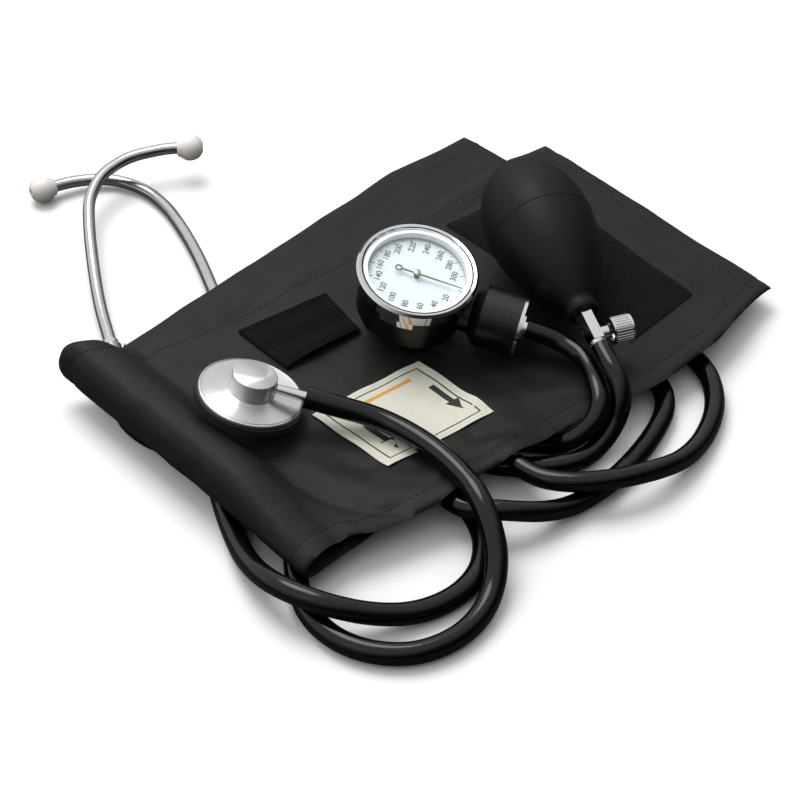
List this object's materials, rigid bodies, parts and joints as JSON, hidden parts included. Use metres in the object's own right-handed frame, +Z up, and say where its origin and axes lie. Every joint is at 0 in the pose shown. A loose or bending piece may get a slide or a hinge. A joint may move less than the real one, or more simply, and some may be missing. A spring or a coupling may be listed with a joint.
{
  "type": "aneroid sphygmomanometer with stethoscope",
  "caption": "Aneroid blood pressure cuff, folded, with its dial gauge, rubber bulb and release valve, hoses, and a single-head stethoscope lying across it.",
  "frame": {"origin": "centre of the object's footprint on the surface it lies on, without the free hoses and tubing", "axes": "+Z up; +X along the folded cuff, from its roll to its free ends; +Y from the edge where the hoses come out towards the ear tips"},
  "size_m": [0.2914, 0.3502, 0.067],
  "materials": {
    "cuff_cloth": "satin",
    "hook_tape": "matt",
    "webbing": "matt",
    "woven_label": "matt",
    "black_rubber": "satin",
    "bulb_rubber": "matt",
    "black_enamel": "satin",
    "chrome": "polished",
    "spring_steel": "bright",
    "brass": "bright",
    "dial_white": "matt",
    "needle_black": "matt",
    "lens_clear": "clear",
    "chest_aluminium": "turned",
    "rim_black": "satin",
    "diaphragm_film": "gloss",
    "ear_tip_white": "milky"
  },
  "bodies": {
    "kit": {"arm_tube_left": "black_rubber", "arm_tube_right": "black_rubber", "artery_label": "woven_label", "bezel_clip": "chrome", "bezel_ring": "chrome", "bladder_ports": "black_rubber", "bulb": "bulb_rubber", "bulb_hose": "black_rubber", "capsule_seat": "brass", "chest_head": "chest_aluminium", "chest_rim": "rim_black", "chest_stem": "chrome", "chest_tube": "black_rubber", "cuff_bladder": "black_rubber", "cuff_inner_cloth": "cuff_cloth", "cuff_outer_cloth": "cuff_cloth", "dial_plate": "dial_white", "dial_posts": "spring_steel", "diaphragm": "diaphragm_film", "gauge_case": "black_enamel", "gauge_hose": "black_rubber", "gauge_nipple": "chrome", "gauge_strap": "webbing", "hairspring": "brass", "hook_panel": "hook_tape", "inlet_valve_seat": "chrome", "leaf_spring": "spring_steel", "lens": "lens_clear", "lens_gasket": "bulb_rubber", "loop_panel": "hook_tape", "movement_lower_plate": "brass", "movement_pillars": "brass", "movement_screws": "spring_steel", "movement_upper_plate": "brass", "neck_end_plate": "chrome", "release_seal": "bulb_rubber", "tube_yoke": "black_rubber", "valve_body": "chrome"},
    "pointer_body": {"pinion_spindle": "brass", "pointer": "needle_black"},
    "sector_body": {"sector_gear": "brass"},
    "rocker_body": {"rocking_shaft": "brass"},
    "capsule_body": {"capsule_face": "brass"},
    "release_stem": {"release_screw": "spring_steel"},
    "release_knob_body": {"release_knob": "chrome"},
    "inlet_disc_body": {"inlet_valve_disc": "bulb_rubber"},
    "outlet_disc_body": {"outlet_valve_disc": "bulb_rubber"},
    "left_ear_body": {"ear_tube_left": "chrome", "ferrule_left": "chrome", "spring_clip_left": "chrome", "ear_tip_left": "ear_tip_white"},
    "right_ear_body": {"ear_tube_right": "chrome", "ferrule_right": "chrome", "spring_clip_right": "chrome", "ear_tip_right": "ear_tip_white"}
  },
  "joints": [
    {"name": "pointer_turn", "type": "hinge", "parent": "kit", "child": "pointer_body", "pos_m": [-0.0079, -0.06005, 0.04785], "axis": [0.016, 0.2197, -0.9754], "range_deg": [0, 336], "deforming": ["hairspring"]},
    {"name": "sector_turn", "type": "hinge", "parent": "kit", "child": "sector_body", "pos_m": [0.00398, -0.06436, 0.03641], "axis": [-0.016, -0.2197, 0.9754], "range_deg": [0, 42]},
    {"name": "rocker_turn", "type": "hinge", "parent": "kit", "child": "rocker_body", "pos_m": [-0.00009, -0.068, 0.02989], "axis": [-0.8396, -0.5269, -0.1324], "range_deg": [0, 19.7]},
    {"name": "capsule_push", "type": "slide", "parent": "kit", "child": "capsule_body", "axis": [-0.543, 0.8211, 0.1761], "range_m": [0, 0.00175], "stiffness_N_per_m": 1000},
    {"name": "release_travel", "type": "slide", "parent": "kit", "child": "release_stem", "axis": [0.9205, -0.3907, 0], "range_m": [0, 0.00075]},
    {"name": "release_turn", "type": "hinge", "parent": "release_stem", "child": "release_knob_body", "pos_m": [0.04662, -0.13032, 0.03225], "axis": [0.9205, -0.3907, 0], "range_deg": [0, 540]},
    {"name": "inlet_lift", "type": "slide", "parent": "kit", "child": "inlet_disc_body", "axis": [-0.3859, -0.9092, -0.1564], "range_m": [0, 0.0006], "stiffness_N_per_m": 1},
    {"name": "outlet_lift", "type": "slide", "parent": "kit", "child": "outlet_disc_body", "axis": [-0.3859, -0.9092, -0.1564], "range_m": [0, 0.0006], "stiffness_N_per_m": 1},
    {"name": "left_ear_spread", "type": "hinge", "parent": "kit", "child": "left_ear_body", "pos_m": [-0.1089, 0.02433, 0.0044], "axis": [0, 0, 1], "range_deg": [0, 12], "stiffness_Nm_per_rad": 1.5, "deforming": ["leaf_spring"]},
    {"name": "right_ear_spread", "type": "hinge", "parent": "kit", "child": "right_ear_body", "pos_m": [-0.0529, 0.01933, 0.0044], "axis": [0, 0, -1], "range_deg": [0, 12]}
  ],
  "couplings": [
    {"joint": "pointer_turn", "follows": "capsule_push", "rad_per_m": 3351},
    {"joint": "sector_turn", "follows": "capsule_push", "rad_per_m": 418.88},
    {"joint": "rocker_turn", "follows": "capsule_push", "rad_per_m": 196.47},
    {"joint": "release_turn", "follows": "release_travel", "rad_per_m": 12566},
    {"joint": "right_ear_spread", "follows": "left_ear_spread", "ratio": 1}
  ]
}
